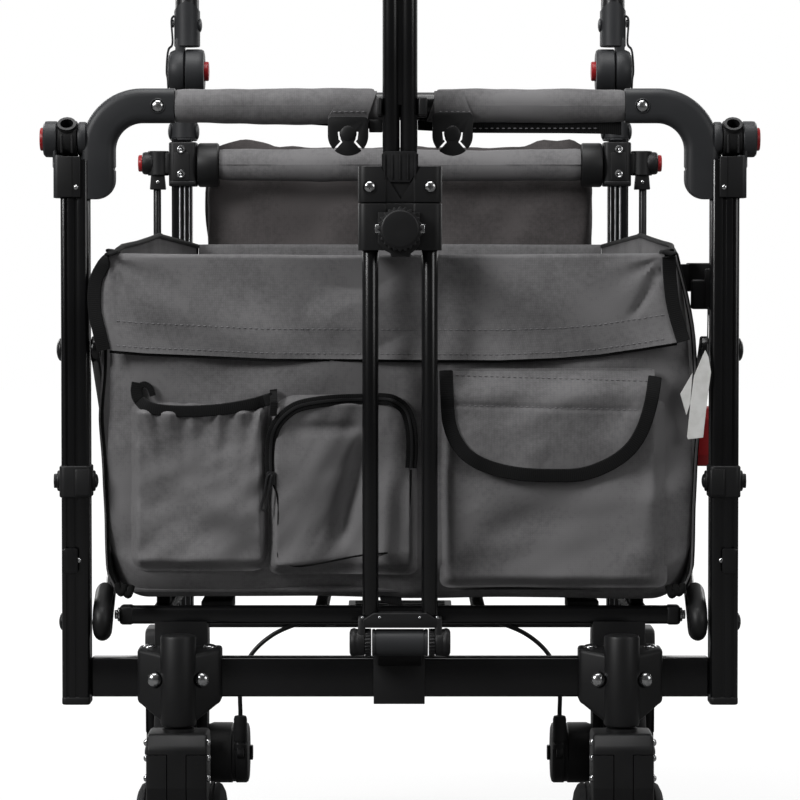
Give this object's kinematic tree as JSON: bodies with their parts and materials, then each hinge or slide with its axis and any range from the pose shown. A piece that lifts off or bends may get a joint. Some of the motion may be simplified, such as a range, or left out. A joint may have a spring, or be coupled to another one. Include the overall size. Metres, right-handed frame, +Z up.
{
  "type": "hand-pulled wagon",
  "caption": "Folding hand-pulled wagon with a telescopic pull handle, a push handle, swivel twin casters in front, fixed rear wheels and a grey fabric basket with pockets.",
  "frame": {"origin": "centre of the bounding box on the ground", "axes": "+Z up, the pull handle's end looks along -Y, +X to the right as seen from there"},
  "size_m": [0.6528, 1.004, 1.165],
  "materials": {
    "frame_paint": "gloss black paint",
    "black_plastic": "fine grain black",
    "grey_plastic": "fine grain dark grey",
    "red_plastic": "smooth red",
    "grey_fabric": "woven polyester, grey",
    "tyre": "matt black",
    "cable_sheath": "satin black"
  },
  "bodies": {
    "front_frame": {"front_post_left": "frame_paint", "front_post_right": "frame_paint", "front_cross_tube": "frame_paint", "front_hub_left": "grey_plastic", "front_hub_right": "grey_plastic", "front_bar": "grey_fabric", "pull_bracket": "black_plastic", "caster_bracket_left": "black_plastic", "caster_bracket_right": "black_plastic", "front_panel": "grey_fabric", "ring_holder": "black_plastic", "side_wall_left": "grey_fabric", "side_wall_right": "grey_fabric", "basket_floor": "grey_fabric"},
    "rear_frame": {"rear_post_left": "frame_paint", "rear_post_right": "frame_paint", "rear_cross_tube": "frame_paint", "rear_clamp_left": "black_plastic", "rear_clamp_right": "black_plastic", "canopy_socket_rear_left": "black_plastic", "canopy_socket_rear_right": "black_plastic", "rear_bar": "grey_fabric", "wheel_housing_left": "black_plastic", "wheel_housing_right": "black_plastic", "brake_cable_left": "cable_sheath", "brake_cable_right": "cable_sheath", "rear_panel": "grey_fabric", "rear_bag": "grey_fabric"},
    "pull_tubes": {"pull_tubes": "frame_paint"},
    "pull_pole": {"pull_pole": "frame_paint"},
    "pull_knob": {"pull_knob": "black_plastic"},
    "floor_front_half": {"floor_front_half": "frame_paint"},
    "floor_rear_half": {"floor_rear_half": "frame_paint"},
    "brake_pedal": {"brake_pedal": "black_plastic"},
    "push_handle": {"push_handle": "grey_plastic"},
    "fold_lever": {"fold_lever": "red_plastic"},
    "link_front_left": {"link_front_left": "frame_paint"},
    "link_rear_left": {"link_rear_left": "frame_paint"},
    "rail_front_left": {"rail_front_left": "frame_paint"},
    "rail_rear_left": {"rail_rear_left": "frame_paint"},
    "canopy_socket_front_left": {"canopy_socket_front_left": "black_plastic"},
    "hub_button_left": {"hub_button_left": "red_plastic"},
    "ring_button_left": {"ring_button_left": "red_plastic"},
    "handle_button_left": {"handle_button_left": "red_plastic"},
    "caster_fork_left": {"caster_fork_left": "black_plastic"},
    "caster_wheel_left_inner": {"caster_wheel_left_inner": "tyre"},
    "caster_wheel_left_outer": {"caster_wheel_left_outer": "tyre"},
    "rear_wheel_left": {"rear_wheel_left": "tyre"},
    "link_front_right": {"link_front_right": "frame_paint"},
    "link_rear_right": {"link_rear_right": "frame_paint"},
    "rail_front_right": {"rail_front_right": "frame_paint"},
    "rail_rear_right": {"rail_rear_right": "frame_paint"},
    "canopy_socket_front_right": {"canopy_socket_front_right": "black_plastic"},
    "hub_button_right": {"hub_button_right": "red_plastic"},
    "ring_button_right": {"ring_button_right": "red_plastic"},
    "handle_button_right": {"handle_button_right": "red_plastic"},
    "caster_fork_right": {"caster_fork_right": "black_plastic"},
    "caster_wheel_right_inner": {"caster_wheel_right_inner": "tyre"},
    "caster_wheel_right_outer": {"caster_wheel_right_outer": "tyre"},
    "rear_wheel_right": {"rear_wheel_right": "tyre"}
  },
  "joints": [
    {"name": "fold", "type": "hinge", "parent": "front_frame", "child": "link_front_left", "pos_m": [-0.267, -0.422, 0.34], "axis": [1, 0, 0], "range_deg": [0, 42], "deforming": ["side_wall_left", "side_wall_right", "basket_floor"]},
    {"name": "link_middle_left", "type": "hinge", "parent": "link_front_left", "child": "link_rear_left", "pos_m": [-0.2765, -0.022, 0.588], "axis": [1, 0, 0], "range_deg": [-84, 0]},
    {"name": "link_rear_end_left", "type": "hinge", "parent": "link_rear_left", "child": "rear_frame", "pos_m": [-0.2765, 0.378, 0.34], "axis": [1, 0, 0], "range_deg": [0, 42]},
    {"name": "link_front_end_right", "type": "hinge", "parent": "front_frame", "child": "link_front_right", "pos_m": [0.267, -0.422, 0.34], "axis": [1, 0, 0], "range_deg": [0, 42]},
    {"name": "link_middle_right", "type": "hinge", "parent": "link_front_right", "child": "link_rear_right", "pos_m": [0.2765, -0.022, 0.588], "axis": [1, 0, 0], "range_deg": [-84, 0]},
    {"name": "rail_front_end_left", "type": "hinge", "parent": "front_frame", "child": "rail_front_left", "pos_m": [-0.2765, -0.422, 0.588], "axis": [1, 0, 0], "range_deg": [-42, 0]},
    {"name": "rail_rear_end_left", "type": "hinge", "parent": "rear_frame", "child": "rail_rear_left", "pos_m": [-0.267, 0.378, 0.588], "axis": [1, 0, 0], "range_deg": [0, 42]},
    {"name": "rail_front_end_right", "type": "hinge", "parent": "front_frame", "child": "rail_front_right", "pos_m": [0.2765, -0.422, 0.588], "axis": [1, 0, 0], "range_deg": [-42, 0]},
    {"name": "rail_rear_end_right", "type": "hinge", "parent": "rear_frame", "child": "rail_rear_right", "pos_m": [0.267, 0.378, 0.588], "axis": [1, 0, 0], "range_deg": [0, 42]},
    {"name": "floor_front_fold", "type": "hinge", "parent": "front_frame", "child": "floor_front_half", "pos_m": [0, -0.404, 0.3445], "axis": [1, 0, 0], "range_deg": [0, 84]},
    {"name": "floor_rear_fold", "type": "hinge", "parent": "rear_frame", "child": "floor_rear_half", "pos_m": [0, 0.36, 0.3445], "axis": [1, 0, 0], "range_deg": [-84, 0]},
    {"name": "pull_handle_tilt", "type": "hinge", "parent": "front_frame", "child": "pull_tubes", "pos_m": [0, -0.464, 0.3254], "axis": [1, 0, 0], "range_deg": [0, 90]},
    {"name": "pull_pole_slide", "type": "slide", "parent": "pull_tubes", "child": "pull_pole", "axis": [0, 0, 1], "range_m": [-0.31, 0]},
    {"name": "pull_knob_turn", "type": "hinge", "parent": "pull_tubes", "child": "pull_knob", "pos_m": [0, -0.4804, 0.697], "axis": [0, 1, 0], "continuous": true},
    {"name": "push_handle_fold", "type": "hinge", "parent": "rear_frame", "child": "push_handle", "pos_m": [0, 0.378, 0.882], "axis": [1, 0, 0], "range_deg": [-50, 95]},
    {"name": "brake_pedal_press", "type": "hinge", "parent": "rear_frame", "child": "brake_pedal", "pos_m": [0, 0.404, 0.261], "axis": [1, 0, 0], "range_deg": [-18, 0]},
    {"name": "fold_lever_turn", "type": "hinge", "parent": "rail_front_right", "child": "fold_lever", "pos_m": [0.2885, -0.2775, 0.4984], "axis": [1, 0, 0], "range_deg": [0, 35], "stiffness_Nm_per_rad": 0.3},
    {"name": "canopy_socket_turn_left", "type": "hinge", "parent": "front_frame", "child": "canopy_socket_front_left", "pos_m": [-0.301, -0.422, 0.7788], "axis": [1, 0, 0], "range_deg": [-90, 60]},
    {"name": "hub_button_press_left", "type": "slide", "parent": "front_frame", "child": "hub_button_left", "axis": [1, 0, 0], "range_m": [0, 0.0025], "stiffness_N_per_m": 400},
    {"name": "ring_button_press_left", "type": "slide", "parent": "rear_frame", "child": "ring_button_left", "axis": [1, 0, 0], "range_m": [0, 0.0018], "stiffness_N_per_m": 400},
    {"name": "handle_button_press_left", "type": "slide", "parent": "rear_frame", "child": "handle_button_left", "axis": [-1, 0, 0], "range_m": [0, 0.002], "stiffness_N_per_m": 400},
    {"name": "caster_swivel_left", "type": "hinge", "parent": "front_frame", "child": "caster_fork_left", "pos_m": [-0.2005, -0.452, 0.245], "axis": [0, 0, 1], "continuous": true},
    {"name": "caster_spin_left_inner", "type": "hinge", "parent": "caster_fork_left", "child": "caster_wheel_left_inner", "pos_m": [-0.1725, -0.407, 0.095], "axis": [1, 0, 0], "continuous": true},
    {"name": "caster_spin_left_outer", "type": "hinge", "parent": "caster_fork_left", "child": "caster_wheel_left_outer", "pos_m": [-0.2285, -0.407, 0.095], "axis": [1, 0, 0], "continuous": true},
    {"name": "rear_wheel_spin_left", "type": "hinge", "parent": "rear_frame", "child": "rear_wheel_left", "pos_m": [-0.255, 0.398, 0.104], "axis": [1, 0, 0], "continuous": true},
    {"name": "canopy_socket_turn_right", "type": "hinge", "parent": "front_frame", "child": "canopy_socket_front_right", "pos_m": [0.301, -0.422, 0.7788], "axis": [1, 0, 0], "range_deg": [-90, 60]},
    {"name": "hub_button_press_right", "type": "slide", "parent": "front_frame", "child": "hub_button_right", "axis": [-1, 0, 0], "range_m": [0, 0.0025], "stiffness_N_per_m": 400},
    {"name": "ring_button_press_right", "type": "slide", "parent": "rear_frame", "child": "ring_button_right", "axis": [-1, 0, 0], "range_m": [0, 0.0018], "stiffness_N_per_m": 400},
    {"name": "handle_button_press_right", "type": "slide", "parent": "rear_frame", "child": "handle_button_right", "axis": [1, 0, 0], "range_m": [0, 0.002], "stiffness_N_per_m": 400},
    {"name": "caster_swivel_right", "type": "hinge", "parent": "front_frame", "child": "caster_fork_right", "pos_m": [0.2005, -0.452, 0.245], "axis": [0, 0, 1], "continuous": true},
    {"name": "caster_spin_right_inner", "type": "hinge", "parent": "caster_fork_right", "child": "caster_wheel_right_inner", "pos_m": [0.1725, -0.407, 0.095], "axis": [1, 0, 0], "continuous": true},
    {"name": "caster_spin_right_outer", "type": "hinge", "parent": "caster_fork_right", "child": "caster_wheel_right_outer", "pos_m": [0.2285, -0.407, 0.095], "axis": [1, 0, 0], "continuous": true},
    {"name": "rear_wheel_spin_right", "type": "hinge", "parent": "rear_frame", "child": "rear_wheel_right", "pos_m": [0.255, 0.398, 0.104], "axis": [1, 0, 0], "continuous": true}
  ],
  "couplings": [
    {"joint": "link_middle_left", "follows": "fold", "ratio": -2},
    {"joint": "link_rear_end_left", "follows": "fold", "ratio": 1},
    {"joint": "link_front_end_right", "follows": "fold", "ratio": 1},
    {"joint": "link_middle_right", "follows": "fold", "ratio": -2},
    {"joint": "rail_front_end_left", "follows": "fold", "ratio": -1},
    {"joint": "rail_rear_end_left", "follows": "fold", "ratio": 1},
    {"joint": "rail_front_end_right", "follows": "fold", "ratio": -1},
    {"joint": "rail_rear_end_right", "follows": "fold", "ratio": 1},
    {"joint": "floor_front_fold", "follows": "fold", "ratio": 2},
    {"joint": "floor_rear_fold", "follows": "fold", "ratio": -2}
  ]
}
